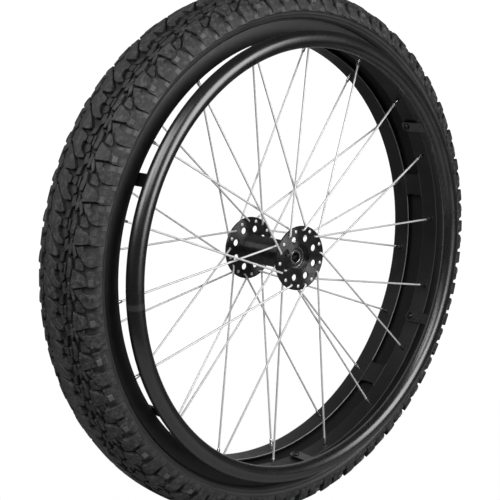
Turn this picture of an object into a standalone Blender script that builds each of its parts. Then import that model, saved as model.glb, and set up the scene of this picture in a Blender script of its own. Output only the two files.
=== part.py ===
"""Wide off-road wheelchair wheel: slotted rim, knobby tyre, spoked hub and bolted hand rim.

The wheel is drawn lying on its chair side, with the hand rim up, and an empty stands it upright. While
it lies flat its axle is Z, and a height h above the rim's middle plane becomes -Y on the upright wheel.
Angles run from +X towards +Z, seen from the hand rim side.
"""

import math

import bmesh
import bpy
from mathutils import Matrix, Vector

MM = 0.001
GAP = 0.3 * MM

# Rim
BED_RADIUS = 266.5 * MM
BED_THICKNESS = 2.4 * MM
RIM_HALF_WIDTH = 37.9 * MM
LIP_RADIUS = 285.2 * MM
BEAD_SEAT_RADIUS = 279.2 * MM
LEDGE_THICKNESS = 2.0 * MM
LEDGE_WIDTH = 6.2 * MM
WALL = 2.2 * MM
SLOT_COUNT = 6
SLOT_HALF_WIDTH = 13.0 * MM
SLOT_CORNER = 6.0 * MM
BRIDGE_ANGLE = math.radians(6.4)
RIM_STEPS = 48

# Tyre and inner tube
TYRE_RADIUS = 326.5 * MM
TYRE_HALF_WIDTH = 50.2 * MM
SHOULDER_RADIUS = 296.0 * MM
TYRE_WALL = 5.0 * MM
BEAD_HALF_WIDTH = 34.9 * MM
CROWN_POWER = 2.3
TUBE_WALL = 1.4 * MM
TUBE_STEPS = 32

# Hub, measured from the hub's own middle plane
HUB_OFFSET = 4.25 * MM
HUB_HALF_LENGTH = 47.25 * MM
FLANGE_RADIUS = 39.6 * MM
FLANGE_THICKNESS = 3.0 * MM
BARREL_RADIUS = 17.6 * MM
SPOKE_RING_RADIUS = 34.5 * MM
SPOKE_HOLE_RADIUS = 1.4 * MM
LIGHTENING_COUNT = 8
LIGHTENING_RING_RADIUS = 24.9 * MM
LIGHTENING_RADIUS = 4.2 * MM
LIGHTENING_PHASE = math.radians(25.8)
HUB_STEPS = 32

# Half-inch bearing (R8 size)
BORE_RADIUS = 6.42 * MM
BEARING_RADIUS = 14.2875 * MM
BEARING_WIDTH = 7.938 * MM
BEARING_RECESS = 7.5 * MM
BALL_RADIUS = 1.98 * MM
BALL_RING_RADIUS = 10.32 * MM
INNER_LAND_RADIUS = 8.9 * MM
OUTER_LAND_RADIUS = 11.75 * MM
BEARING_STEPS = 24

# Spokes
SPOKES_PER_FLANGE = 18
CROSSES = 2
SPOKE_RADIUS = 1.0 * MM
HEAD_RADIUS = 2.1 * MM
HEAD_THICKNESS = 1.1 * MM
ELBOW_CLEARANCE = 1.1 * MM
NIPPLE_RADIUS = 2.0 * MM
NIPPLE_HOLE_RADIUS = 2.8 * MM
NIPPLE_LENGTH = 13.0 * MM
NIPPLE_HEIGHT = 26.5 * MM
WHEEL_PHASE = math.radians(6.4)

# Hand rim
HANDRIM_RADIUS = 263.0 * MM
HANDRIM_TUBE_RADIUS = 10.0 * MM
HANDRIM_WALL = 2.3 * MM
HANDRIM_HEIGHT = 63.5 * MM
TAB_COUNT = 6
TAB_HALF_WIDTH = 7.5 * MM
TAB_THICKNESS = 2.6 * MM
TAB_CLEARANCE = 1.2 * MM
TAB_SCREW_HEIGHT = 20.0 * MM
SCREW_RADIUS = 2.5 * MM
SCREW_HEAD_RADIUS = 4.4 * MM

# Valve
VALVE_RADIUS = 4.0 * MM
VALVE_LENGTH = 17.0 * MM
VALVE_PHASE = math.radians(232.4)

NEAR = 1
FAR = -1


def clear_scene():
    for old in list(bpy.data.objects):
        bpy.data.objects.remove(old, do_unlink=True)


def new_collection(name):
    collection = bpy.data.collections.new(name)
    bpy.context.scene.collection.children.link(collection)
    return collection


def make_material(name, colour, roughness, metallic):
    material = bpy.data.materials.new(name)
    material.use_nodes = True
    shader = material.node_tree.nodes["Principled BSDF"]
    shader.inputs["Base Color"].default_value = (*colour, 1.0)
    shader.inputs["Roughness"].default_value = roughness
    shader.inputs["Metallic"].default_value = metallic
    return material


def place(obj, collection, material=None):
    """Link an object, parent it to the stand and give it its material."""
    for holder in list(obj.users_collection):
        holder.objects.unlink(obj)
    collection.objects.link(obj)
    obj.parent = STAND
    if material:
        obj.data.materials.clear()
        obj.data.materials.append(material)
    return obj


def as_cutter(obj):
    place(obj, CUTTERS)
    obj.hide_render = True
    obj.display_type = "WIRE"
    return obj


def mesh_object(name, builder):
    """A mesh object whose geometry the builder function draws into a bmesh."""
    mesh = bpy.data.meshes.new(name)
    bm = bmesh.new()
    builder(bm)
    bm.to_mesh(mesh)
    bm.free()
    return bpy.data.objects.new(name, mesh)


def turned(name, profile, steps, collection, material=None):
    """A ring turned about the axle. The closed profile (radius, height) runs down its outer side."""
    mesh = bpy.data.meshes.new(name)
    edges = [(i, (i + 1) % len(profile)) for i in range(len(profile))]
    mesh.from_pydata([(radius, 0.0, height) for radius, height in profile], edges, [])
    obj = bpy.data.objects.new(name, mesh)
    screw = obj.modifiers.new("Turn", "SCREW")
    screw.steps = steps
    screw.render_steps = steps
    screw.use_merge_vertices = True
    screw.merge_threshold = 0.00001
    screw.use_smooth_shade = True
    return place(obj, collection, material)


def boolean(obj, tool, operation):
    modifier = obj.modifiers.new(tool.name, "BOOLEAN")
    modifier.operation = operation
    modifier.solver = "EXACT"
    modifier.object = tool


def rod(bm, radius, length, matrix, sides):
    bmesh.ops.create_cone(
        bm, cap_ends=True, segments=sides, radius1=radius, radius2=radius, depth=length, matrix=matrix
    )


def radial(angle, radius, height):
    """A frame at a point round the wheel, with its Z pointing away from the axle."""
    out = Vector((math.cos(angle), math.sin(angle), 0.0))
    turn = Matrix.Rotation(angle, 4, "Z") @ Matrix.Rotation(math.pi / 2, 4, "Y")
    return Matrix.Translation(out * radius + Vector((0.0, 0.0, height))) @ turn


def axial(angle, radius, height):
    """A frame at a point round the wheel, with its Z along the axle."""
    return Matrix.Rotation(angle, 4, "Z") @ Matrix.Translation((radius, 0.0, height))


def round_holes(name, radius, length, frames, sides):
    """One cutter made of many drills."""

    def draw(bm):
        for frame in frames:
            rod(bm, radius, length, frame, sides)

    return as_cutter(mesh_object(name, draw))


def thick_path(points, thickness):
    """A closed profile: the path, and the same path moved to its right, back to the start."""
    inside = []
    for i, point in enumerate(points):
        before = Vector(points[max(i - 1, 0)])
        after = Vector(points[min(i + 1, len(points) - 1)])
        along = (after - before).normalized()
        inside.append((point[0] + along.y * thickness, point[1] - along.x * thickness))
    return list(points) + inside[::-1]


def mirrored(half):
    """A path over both sides of the wheel from its upper half, which ends at the middle plane."""
    lower = [(radius, -height) for radius, height in half[::-1]]
    if half[-1][1] == 0.0:
        lower = lower[1:]
    return half + lower


def ring_angles(count, phase):
    return [phase + 2 * math.pi * i / count for i in range(count)]


NIPPLE_PHASES = {NEAR: WHEEL_PHASE, FAR: WHEEL_PHASE + math.pi / SPOKES_PER_FLANGE}
BRIDGE_PHASE = NIPPLE_PHASES[FAR]
TAB_PHASE = BRIDGE_PHASE + 2 * math.pi / SPOKES_PER_FLANGE


def slot_spans():
    """Start and length of each slot: six equal ones, one of them broken by a bridge at the valve."""
    whole = 2 * math.pi / SLOT_COUNT - BRIDGE_ANGLE
    spans = []
    for start in ring_angles(SLOT_COUNT, BRIDGE_PHASE + BRIDGE_ANGLE / 2):
        before = (VALVE_PHASE - start) % (2 * math.pi)
        if before < whole:
            spans.append((start, before - BRIDGE_ANGLE / 2))
            spans.append((VALVE_PHASE + BRIDGE_ANGLE / 2, whole - before - BRIDGE_ANGLE / 2))
        else:
            spans.append((start, whole))
    return spans


def slot_cutter():
    """Curved bars with rounded corners, one for each slot in the rim bed."""
    step = math.radians(4.5)
    inner = BED_RADIUS - 4 * MM
    outer = BED_RADIUS + BED_THICKNESS + 4 * MM

    def draw(bm):
        for start, length in slot_spans():
            corners = [
                (inner, -SLOT_HALF_WIDTH),
                (outer, -SLOT_HALF_WIDTH),
                (outer, SLOT_HALF_WIDTH),
                (inner, SLOT_HALF_WIDTH),
            ]
            turn = Matrix.Rotation(start, 3, "Z")
            section = [bm.verts.new(turn @ Vector((radius, 0.0, height))) for radius, height in corners]
            first = bm.faces.new(section)
            swept = bmesh.ops.spin(
                bm, geom=[first], cent=(0, 0, 0), axis=(0, 0, 1), angle=length, steps=round(length / step)
            )
            last = [item for item in swept["geom_last"] if isinstance(item, bmesh.types.BMFace)][0]
            ends = [
                edge
                for face in (first, last)
                for edge in face.edges
                if abs(edge.verts[0].co.z - edge.verts[1].co.z) < 0.1 * MM
            ]
            bmesh.ops.bevel(bm, geom=ends, offset=SLOT_CORNER, segments=3, profile=0.5, affect="EDGES")
        bmesh.ops.recalc_face_normals(bm, faces=bm.faces)

    return as_cutter(mesh_object("slot_cutter", draw))


def build_rim(material):
    chamfer = 0.8 * MM
    bed_top = BED_RADIUS + BED_THICKNESS
    wall_in = RIM_HALF_WIDTH - WALL
    ledge_in = wall_in - LEDGE_WIDTH
    half = [
        (BED_RADIUS, RIM_HALF_WIDTH - chamfer),
        (BED_RADIUS + chamfer, RIM_HALF_WIDTH),
        (LIP_RADIUS, RIM_HALF_WIDTH),
        (LIP_RADIUS, wall_in),
        (BEAD_SEAT_RADIUS, wall_in),
        (BEAD_SEAT_RADIUS, ledge_in),
        (BEAD_SEAT_RADIUS - LEDGE_THICKNESS, ledge_in),
        (BEAD_SEAT_RADIUS - LEDGE_THICKNESS, wall_in),
        (bed_top, wall_in),
    ]
    rim = turned("rim", mirrored(half), RIM_STEPS, PARTS, material)
    boolean(rim, slot_cutter(), "DIFFERENCE")
    depth = 12 * MM
    frames = [
        radial(angle, BED_RADIUS, side * NIPPLE_HEIGHT)
        for side in (NEAR, FAR)
        for angle in ring_angles(SPOKES_PER_FLANGE, NIPPLE_PHASES[side])
    ]
    boolean(rim, round_holes("nipple_drills", NIPPLE_HOLE_RADIUS, depth, frames, 6), "DIFFERENCE")
    frames = [radial(angle, BED_RADIUS, TAB_SCREW_HEIGHT) for angle in ring_angles(TAB_COUNT, TAB_PHASE)]
    boolean(rim, round_holes("rim_screw_drills", SCREW_RADIUS + GAP, depth, frames, 8), "DIFFERENCE")
    frames = [radial(VALVE_PHASE, BED_RADIUS, 0.0)]
    boolean(rim, round_holes("rim_valve_drill", VALVE_RADIUS + GAP, depth, frames, 10), "DIFFERENCE")


def build_rim_tape(material):
    inner = BED_RADIUS + BED_THICKNESS + 0.4 * MM
    outer = inner + 0.8 * MM
    half_width = SLOT_HALF_WIDTH + 2.3 * MM
    profile = [(inner, half_width), (outer, half_width), (outer, -half_width), (inner, -half_width)]
    tape = turned("rim_tape", profile, RIM_STEPS, PARTS, material)
    frames = [radial(VALVE_PHASE, inner, 0.0)]
    boolean(tape, round_holes("tape_valve_drill", VALVE_RADIUS + GAP, 6 * MM, frames, 10), "DIFFERENCE")


def crown_point(radius_in, half_width, turn):
    """A point on the rounded-square crown, where turn runs from the side (0) to the middle (90 degrees)."""
    reach = math.sin(turn) ** (2 / CROWN_POWER) if turn > 0 else 0.0
    side = math.cos(turn) ** (2 / CROWN_POWER) if turn < math.pi / 2 else 0.0
    return (SHOULDER_RADIUS + radius_in * reach, half_width * side)


def build_tyre(material):
    side_in = LIP_RADIUS + 0.9 * MM
    bulge = TYRE_HALF_WIDTH - RIM_HALF_WIDTH
    half = [
        (BEAD_SEAT_RADIUS + 0.4 * MM, BEAD_HALF_WIDTH),
        (side_in - 0.8 * MM, BEAD_HALF_WIDTH),
        (side_in + 2.6 * MM, RIM_HALF_WIDTH + 0.72 * bulge),
    ]
    crown = TYRE_RADIUS - SHOULDER_RADIUS
    half += [crown_point(crown, TYRE_HALF_WIDTH, math.radians(a)) for a in (0, 27, 58, 90)]
    turned("tyre", thick_path(mirrored(half), TYRE_WALL), RIM_STEPS, PARTS, material)


def build_inner_tube(material):
    """A thin tube that fills the tyre. A slit along its inner side lets the hollow out."""
    slit = 1.0 * MM
    floor = BED_RADIUS + BED_THICKNESS + 6.5 * MM
    crown = TYRE_RADIUS - SHOULDER_RADIUS - TYRE_WALL - 3.0 * MM
    half_width = TYRE_HALF_WIDTH - TYRE_WALL - 4.0 * MM
    half = [(floor, slit), (floor, 24.0 * MM), (SHOULDER_RADIUS - 1.5 * MM, 29.0 * MM)]
    half += [crown_point(crown, half_width, math.radians(a)) for a in (2, 40, 90)]
    turned("inner_tube", thick_path(mirrored(half), TUBE_WALL), TUBE_STEPS, PARTS, material)


def build_hub_shell(material):
    face = HUB_HALF_LENGTH
    flange_back = face - FLANGE_THICKNESS
    seat_radius = BEARING_RADIUS + GAP
    seat_top = face - BEARING_RECESS + 0.4 * MM
    seat_bottom = face - BEARING_RECESS - BEARING_WIDTH - GAP
    root = 1.6 * MM
    outer_half = [
        (BARREL_RADIUS, face),
        (FLANGE_RADIUS, face),
        (FLANGE_RADIUS, flange_back),
        (BARREL_RADIUS + root, flange_back),
        (BARREL_RADIUS, flange_back - 2 * root),
    ]
    inner_half = [
        (seat_radius + 1.2 * MM, seat_top),
        (seat_radius, seat_top - 0.6 * MM),
        (seat_radius, seat_bottom),
        (seat_radius - 2.2 * MM, seat_bottom),
    ]
    profile = [(radius, height - HUB_OFFSET) for radius, height in mirrored(outer_half)]
    inner = [(radius, height - HUB_OFFSET) for radius, height in mirrored(inner_half)]
    hub = turned("hub_shell", profile + inner[::-1], HUB_STEPS, PARTS, material)
    depth = 12 * MM
    holes = []
    pockets = []
    for side in (NEAR, FAR):
        height = side * (face - FLANGE_THICKNESS / 2) - HUB_OFFSET
        for angle in ring_angles(SPOKES_PER_FLANGE, NIPPLE_PHASES[side]):
            holes.append(axial(angle, SPOKE_RING_RADIUS, height))
        for angle in ring_angles(LIGHTENING_COUNT, LIGHTENING_PHASE):
            pockets.append(axial(angle, LIGHTENING_RING_RADIUS, height))
    boolean(hub, round_holes("spoke_drills", SPOKE_HOLE_RADIUS, depth, holes, 6), "DIFFERENCE")
    boolean(hub, round_holes("lightening_drills", LIGHTENING_RADIUS, depth, pockets, 8), "DIFFERENCE")


def build_bearing(side, label, steel, rubber):
    """Races, ball ring and seal of one bearing; side says on which end of the hub it sits."""
    middle = side * (HUB_HALF_LENGTH - BEARING_RECESS - BEARING_WIDTH / 2) - HUB_OFFSET
    half = BEARING_WIDTH / 2
    outer_race = [
        (BEARING_RADIUS, middle + half),
        (BEARING_RADIUS, middle - half),
        (OUTER_LAND_RADIUS, middle - half),
        (BALL_RING_RADIUS + BALL_RADIUS + GAP, middle),
        (OUTER_LAND_RADIUS, middle + half),
    ]
    turned("bearing_outer_race_" + label, outer_race, BEARING_STEPS, PARTS, steel)
    inner_race = [
        (INNER_LAND_RADIUS, middle + half),
        (BALL_RING_RADIUS - BALL_RADIUS - GAP, middle),
        (INNER_LAND_RADIUS, middle - half),
        (BORE_RADIUS, middle - half),
        (BORE_RADIUS, middle + half),
    ]
    turned("bearing_inner_race_" + label, inner_race, BEARING_STEPS, PARTS, steel)

    seal_top = middle + side * (half - 0.2 * MM)
    seal_low = seal_top - side * 0.8 * MM
    upper = max(seal_top, seal_low)
    lower = min(seal_top, seal_low)
    seal_in = INNER_LAND_RADIUS + 0.35 * MM
    seal_out = OUTER_LAND_RADIUS - 0.3 * MM
    seal = [(seal_in, upper), (seal_out, upper), (seal_out, lower), (seal_in, lower)]
    turned("bearing_seal_" + label, seal, BEARING_STEPS, PARTS, rubber)

    corners = [math.radians(a) for a in (90, 30, -30, -90, -150, 150)]
    ball_ring = [
        (BALL_RING_RADIUS + BALL_RADIUS * math.cos(a), middle + BALL_RADIUS * math.sin(a)) for a in corners
    ]
    turned("bearing_ball_ring_" + label, ball_ring, BEARING_STEPS, PARTS, steel)


def build_spacer_sleeve(material):
    half = HUB_HALF_LENGTH - BEARING_RECESS - BEARING_WIDTH - GAP
    profile = [
        (INNER_LAND_RADIUS - 0.5 * MM, half - HUB_OFFSET),
        (INNER_LAND_RADIUS - 0.5 * MM, -half - HUB_OFFSET),
        (BORE_RADIUS, -half - HUB_OFFSET),
        (BORE_RADIUS, half - HUB_OFFSET),
    ]
    turned("spacer_sleeve", profile, BEARING_STEPS, PARTS, material)


def spoke_curve(side, elbow_out):
    """Wire of one spoke, from its head in the flange to its nipple behind the rim bed."""
    face = side * HUB_HALF_LENGTH - HUB_OFFSET
    back = face - side * FLANGE_THICKNESS
    head_plane, leave_plane = (back, face) if elbow_out else (face, back)
    away = side if elbow_out else -side
    start = Vector((SPOKE_RING_RADIUS, 0.0, 0.0))
    turn = -1 if elbow_out else 1
    end_angle = turn * CROSSES * 2 * math.pi / SPOKES_PER_FLANGE
    rim_point = Matrix.Rotation(end_angle, 3, "Z") @ Vector((BED_RADIUS, 0.0, 0.0))
    rim_point.z = side * NIPPLE_HEIGHT

    head_far = start + Vector((0, 0, head_plane - away * (GAP + HEAD_THICKNESS)))
    neck = start + Vector((0, 0, head_plane - away * (GAP - 0.05 * MM)))
    lift = ELBOW_CLEARANCE if elbow_out else GAP
    corner = start + Vector((0, 0, leave_plane + away * (SPOKE_RADIUS + lift)))
    towards = (rim_point - corner).normalized()
    nipple_start = rim_point - towards * (NIPPLE_LENGTH - 3.0 * MM)
    points = [
        (head_far, HEAD_RADIUS),
        (neck, SPOKE_RADIUS),
        (corner, SPOKE_RADIUS),
        (nipple_start - towards * 0.8 * MM, SPOKE_RADIUS),
        (nipple_start, NIPPLE_RADIUS),
        (rim_point + towards * 3.9 * MM, NIPPLE_RADIUS),
    ]
    curve = bpy.data.curves.new("spoke", "CURVE")
    curve.dimensions = "3D"
    curve.bevel_depth = 1.0 * MM
    curve.bevel_resolution = 1
    curve.use_fill_caps = True
    spline = curve.splines.new("POLY")
    spline.points.add(len(points) - 1)
    for target, (position, radius) in zip(spline.points, points):
        target.co = (*position, 1.0)
        target.radius = radius / curve.bevel_depth
    return curve


def build_spokes(material):
    """Nine copies of each kind of spoke, every second hole of a flange being of one kind."""
    step = 2 * math.pi / SPOKES_PER_FLANGE
    for side, label in ((NEAR, "outboard"), (FAR, "inboard")):
        kinds = ("elbow_out", "head_out") if side == NEAR else ("head_out", "elbow_out")
        for first_hole, kind in enumerate(kinds):
            curve = spoke_curve(side, kind == "elbow_out")
            curve.materials.append(material)
            for i in range(SPOKES_PER_FLANGE // 2):
                name = "spoke_%s_%s_%d" % (label, kind, i + 1)
                spoke = bpy.data.objects.new(name, curve)
                spoke.rotation_euler.z = NIPPLE_PHASES[side] + (2 * i + first_hole) * step
                place(spoke, PARTS)


def draw_tab(bm, frame):
    """A flat bar from inside the hand rim tube to its rounded end on the rim bed."""
    middle = BED_RADIUS - TAB_CLEARANCE - TAB_THICKNESS / 2
    top = HANDRIM_HEIGHT - 0.8 * HANDRIM_TUBE_RADIUS
    outline = [(-TAB_HALF_WIDTH, top), (TAB_HALF_WIDTH, top)]
    for i in range(7):
        angle = -math.pi * i / 6
        across, along = TAB_HALF_WIDTH * math.cos(angle), TAB_HALF_WIDTH * math.sin(angle)
        outline.append((across, TAB_SCREW_HEIGHT + along))
    verts = [bm.verts.new(frame @ Vector((middle - TAB_THICKNESS / 2, y, z))) for y, z in outline]
    base = bm.faces.new(verts)
    lifted = bmesh.ops.extrude_face_region(bm, geom=[base])
    moved = [item for item in lifted["geom"] if isinstance(item, bmesh.types.BMVert)]
    bmesh.ops.translate(bm, verts=moved, vec=frame.to_3x3() @ Vector((TAB_THICKNESS, 0, 0)))


def build_hand_rim(material):
    def draw_tabs(bm):
        for angle in ring_angles(TAB_COUNT, TAB_PHASE):
            draw_tab(bm, Matrix.Rotation(angle, 4, "Z"))
        bmesh.ops.recalc_face_normals(bm, faces=bm.faces)

    centre = (0, 0, HANDRIM_HEIGHT)
    bpy.ops.mesh.primitive_torus_add(
        location=centre,
        major_radius=HANDRIM_RADIUS,
        minor_radius=HANDRIM_TUBE_RADIUS,
        major_segments=60,
        minor_segments=10,
    )
    tube = bpy.context.object
    tube.name = "hand_rim"
    tube.data.shade_smooth()
    place(tube, PARTS, material)
    boolean(tube, as_cutter(mesh_object("tabs", draw_tabs)), "UNION")

    bpy.ops.mesh.primitive_torus_add(
        location=centre,
        major_radius=HANDRIM_RADIUS,
        minor_radius=HANDRIM_TUBE_RADIUS - HANDRIM_WALL,
        major_segments=36,
        minor_segments=6,
    )
    hollow = bpy.context.object
    hollow.name = "tube_hollow"
    boolean(tube, as_cutter(hollow), "DIFFERENCE")
    frames = [radial(angle, BED_RADIUS, TAB_SCREW_HEIGHT) for angle in ring_angles(TAB_COUNT, TAB_PHASE)]
    boolean(tube, round_holes("tab_screw_drills", SCREW_RADIUS + GAP, 14 * MM, frames, 8), "DIFFERENCE")
    drain = [radial(TAB_PHASE + math.radians(8), HANDRIM_RADIUS - HANDRIM_TUBE_RADIUS, HANDRIM_HEIGHT)]
    boolean(tube, round_holes("drain_drill", 1.5 * MM, 8 * MM, drain, 6), "DIFFERENCE")


def stacked(name, sections, sides, frame, material):
    """One solid turned from discs: (radius, from, to) along the frame's Z, each overlapping the next."""
    profile = [(0.0, sections[-1][2])]
    for radius, low, high in reversed(sections):
        profile += [(radius, high), (radius, low)]
    profile.append((0.0, sections[0][1]))
    mesh = bpy.data.meshes.new(name)
    edges = [(i, i + 1) for i in range(len(profile) - 1)]
    mesh.from_pydata([(radius, 0.0, height) for radius, height in profile], edges, [])
    obj = bpy.data.objects.new(name, mesh)
    screw = obj.modifiers.new("Turn", "SCREW")
    screw.steps = sides
    screw.render_steps = sides
    screw.use_merge_vertices = True
    screw.merge_threshold = 0.00001
    place(obj, PARTS, material)
    obj.matrix_local = frame
    return obj


def build_tab_screws(material):
    """Each screw has its head under the tab and its nut on the outer side of the rim bed."""
    tab_inner = -TAB_CLEARANCE - TAB_THICKNESS
    for i, angle in enumerate(ring_angles(TAB_COUNT, TAB_PHASE)):
        sections = [
            (SCREW_HEAD_RADIUS, tab_inner - 2.8 * MM, tab_inner - GAP),
            (SCREW_RADIUS, tab_inner - GAP, BED_THICKNESS + GAP),
            (SCREW_HEAD_RADIUS - 0.4 * MM, BED_THICKNESS + GAP, BED_THICKNESS + 3.0 * MM),
        ]
        frame = radial(angle, BED_RADIUS, TAB_SCREW_HEIGHT)
        stacked("tab_screw_%d" % (i + 1), sections, 6, frame, material)


def build_valve(rubber, plastic):
    frame = radial(VALVE_PHASE, BED_RADIUS, 0.0)
    tip = -VALVE_LENGTH
    stem = [
        (2.6 * MM, tip, tip + 6.0 * MM),
        (3.3 * MM, tip + 6.0 * MM, -2.0 * MM),
        (VALVE_RADIUS, -2.0 * MM, BED_THICKNESS + 1.6 * MM),
        (VALVE_RADIUS + 3.0 * MM, BED_THICKNESS + 1.6 * MM, BED_THICKNESS + 3.2 * MM),
    ]
    stacked("valve_stem", stem, 10, frame, rubber)
    cap = [
        (2.6 * MM, tip - 6.0 * MM, tip - 5.2 * MM),
        (3.6 * MM, tip - 5.2 * MM, tip - GAP),
    ]
    stacked("valve_cap", cap, 10, frame, plastic)


clear_scene()
PARTS = new_collection("wheelchair_wheel")
CUTTERS = new_collection("cutters")
STAND = bpy.data.objects.new("wheel_axis", None)
PARTS.objects.link(STAND)
STAND.rotation_euler.x = math.pi / 2

tyre_rubber = make_material("tyre_rubber", (0.018, 0.018, 0.019), 0.75, 0.0)
black_rim = make_material("black_rim", (0.02, 0.02, 0.021), 0.38, 0.6)
gloss_black = make_material("gloss_black", (0.012, 0.012, 0.013), 0.18, 0.3)
anodised_black = make_material("anodised_black", (0.025, 0.025, 0.026), 0.32, 0.9)
stainless = make_material("stainless", (0.62, 0.62, 0.63), 0.25, 1.0)
black_plastic = make_material("black_plastic", (0.02, 0.02, 0.02), 0.5, 0.0)

build_rim(black_rim)
build_rim_tape(black_plastic)
build_tyre(tyre_rubber)
build_inner_tube(tyre_rubber)
build_hub_shell(anodised_black)
build_bearing(NEAR, "outboard", stainless, black_plastic)
build_bearing(FAR, "inboard", stainless, black_plastic)
build_spacer_sleeve(stainless)
build_spokes(stainless)
build_hand_rim(gloss_black)
build_tab_screws(black_rim)
build_valve(tyre_rubber, black_plastic)
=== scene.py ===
"""Looks of the off-road wheelchair wheel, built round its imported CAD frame.

The wheel spins about Y and the hand rim is on its -Y side. A point of the wheel is given by its radius,
its angle from +X towards +Z, and its y. Lengths are in metres unless a name says otherwise.
"""

import math

import bmesh
import bpy
import numpy as np
from mathutils import Matrix, Vector


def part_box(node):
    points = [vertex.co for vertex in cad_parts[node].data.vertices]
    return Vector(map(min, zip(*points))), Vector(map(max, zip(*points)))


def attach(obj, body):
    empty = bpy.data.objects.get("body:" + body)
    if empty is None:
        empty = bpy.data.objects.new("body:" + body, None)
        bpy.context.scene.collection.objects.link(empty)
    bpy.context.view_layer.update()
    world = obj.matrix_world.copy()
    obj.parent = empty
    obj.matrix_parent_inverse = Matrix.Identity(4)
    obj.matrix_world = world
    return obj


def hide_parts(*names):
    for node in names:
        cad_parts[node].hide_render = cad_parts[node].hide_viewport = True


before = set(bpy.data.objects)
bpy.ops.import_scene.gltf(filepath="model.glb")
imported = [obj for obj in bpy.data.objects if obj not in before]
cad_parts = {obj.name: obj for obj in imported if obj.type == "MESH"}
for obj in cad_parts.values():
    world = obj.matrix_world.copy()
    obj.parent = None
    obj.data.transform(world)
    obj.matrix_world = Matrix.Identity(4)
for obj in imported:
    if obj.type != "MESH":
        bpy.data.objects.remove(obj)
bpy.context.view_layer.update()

MM = 0.001
WHEEL = "wheel"
CORE = "core"


def span(node):
    """Largest radius, lowest y and highest y of a CAD node that lies round the axle."""
    low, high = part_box(node)
    return max(high.x, high.z, -low.x, -low.z), low.y, high.y


# Sizes read from the CAD nodes. _R is a largest radius, _HALF half a width, and _LOW and _HIGH are ends in y.
TYRE_R, _, TYRE_HALF = span("tyre")
RIM_R, _, RIM_HALF = span("rim")
TAPE_R, TAPE_LOW, TAPE_HIGH = span("rim_tape")
HUB_R, HUB_LOW, HUB_HIGH = span("hub_shell")
HAND_RIM_OUTER, HAND_RIM_LOW, _ = span("hand_rim")

# Rim: the bed is its floor, on the spokes' side. Long slots run round the bed, with bridges between them.
BED_R = RIM_R - 19.2 * MM
BED_THICKNESS = 2.4 * MM
SLOT_HALF = 13.0 * MM
SLOT_CORNER = 6.0 * MM
SLOT_COUNT = 6
BRIDGE = math.radians(6.4)

# Spokes: the near side is the hand rim's.
SPOKES_PER_SIDE = 18
PITCH = 2 * math.pi / SPOKES_PER_SIDE
NEAR_PHASE = math.radians(6.4)
FAR_PHASE = NEAR_PHASE + PITCH / 2
NIPPLE_Y = 26.5 * MM
NIPPLE_HOLE_R = 2.5 * MM

# Hand rim, its six tabs, and the valve.
HAND_RIM_TUBE = 10.0 * MM
HAND_RIM_R = HAND_RIM_OUTER - HAND_RIM_TUBE
HAND_RIM_Y = HAND_RIM_LOW + HAND_RIM_TUBE
SEAM_ANGLE = math.radians(185.6)
TAB_COUNT = 6
TAB_PHASE = FAR_PHASE + PITCH
TAB_SCREW_Y = -20.0 * MM
TAB_HOLE_R = 2.8 * MM
VALVE_ANGLE = math.radians(232.4)
VALVE_HOLE_R = 4.3 * MM


# ---- mesh helpers ----


def polar(radius, angle, y):
    """Point at a radius and an angle round the axle."""
    return (radius * math.cos(angle), y, radius * math.sin(angle))


def local_frame(angle, radius, y):
    """Matrix whose Z points away from the axle, X along +Y of the wheel, at a point round the wheel."""
    out = Vector((math.cos(angle), 0.0, math.sin(angle)))
    along = Vector((0.0, 1.0, 0.0))
    side = out.cross(along)
    matrix = Matrix((along, side, out)).transposed().to_4x4()
    return Matrix.Translation(out * radius + Vector((0.0, y, 0.0))) @ matrix


def add_piece(name, mesh, material, body=WHEEL, replaces=(), sharp=32.0):
    """Turn a mesh into a shaded piece of the model that rides on a body."""
    obj = bpy.data.objects.new(name, mesh)
    bpy.context.scene.collection.objects.link(obj)
    mesh.materials.clear()
    mesh.materials.append(material)
    mesh.shade_smooth()
    if sharp:
        mesh.set_sharp_from_angle(angle=math.radians(sharp))
    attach(obj, body)
    if replaces:
        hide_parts(*replaces)
    return obj


def mesh_from(name, vertices, faces):
    """Mesh whose faces all look outwards."""
    mesh = bpy.data.meshes.new(name)
    mesh.from_pydata([tuple(v) for v in vertices], [], faces)
    bm = bmesh.new()
    bm.from_mesh(mesh)
    bmesh.ops.recalc_face_normals(bm, faces=bm.faces)
    bm.to_mesh(mesh)
    bm.free()
    return mesh


def fillet(points, radii, segments=3):
    """Round the corners of a closed profile of (radius, y) points. A radius of 0 keeps the corner."""
    rounded = []
    count = len(points)
    for i, point in enumerate(points):
        corner = np.array(point)
        before = np.array(points[i - 1]) - corner
        after = np.array(points[(i + 1) % count]) - corner
        length_before, length_after = np.linalg.norm(before), np.linalg.norm(after)
        radius = radii[i] if isinstance(radii, (list, tuple)) else radii
        if radius <= 0:
            rounded.append(tuple(corner))
            continue
        before, after = before / length_before, after / length_after
        half = math.acos(max(-1.0, min(1.0, float(before @ after)))) / 2
        reach = min(radius / math.tan(half), 0.48 * length_before, 0.48 * length_after)
        start, end = corner + before * reach, corner + after * reach
        for k in range(segments + 1):
            t = k / segments
            rounded.append(tuple((1 - t) ** 2 * start + 2 * t * (1 - t) * corner + t * t * end))
    return rounded


def rounded_ring(name, section, steps):
    """Ring whose corners are given as (radius, y, rounding in mm), turned about the axle."""
    corners = [(radius, y) for radius, y, _ in section]
    return ring_mesh(name, fillet(corners, [rounding * MM for _, _, rounding in section], 4), steps)


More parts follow.
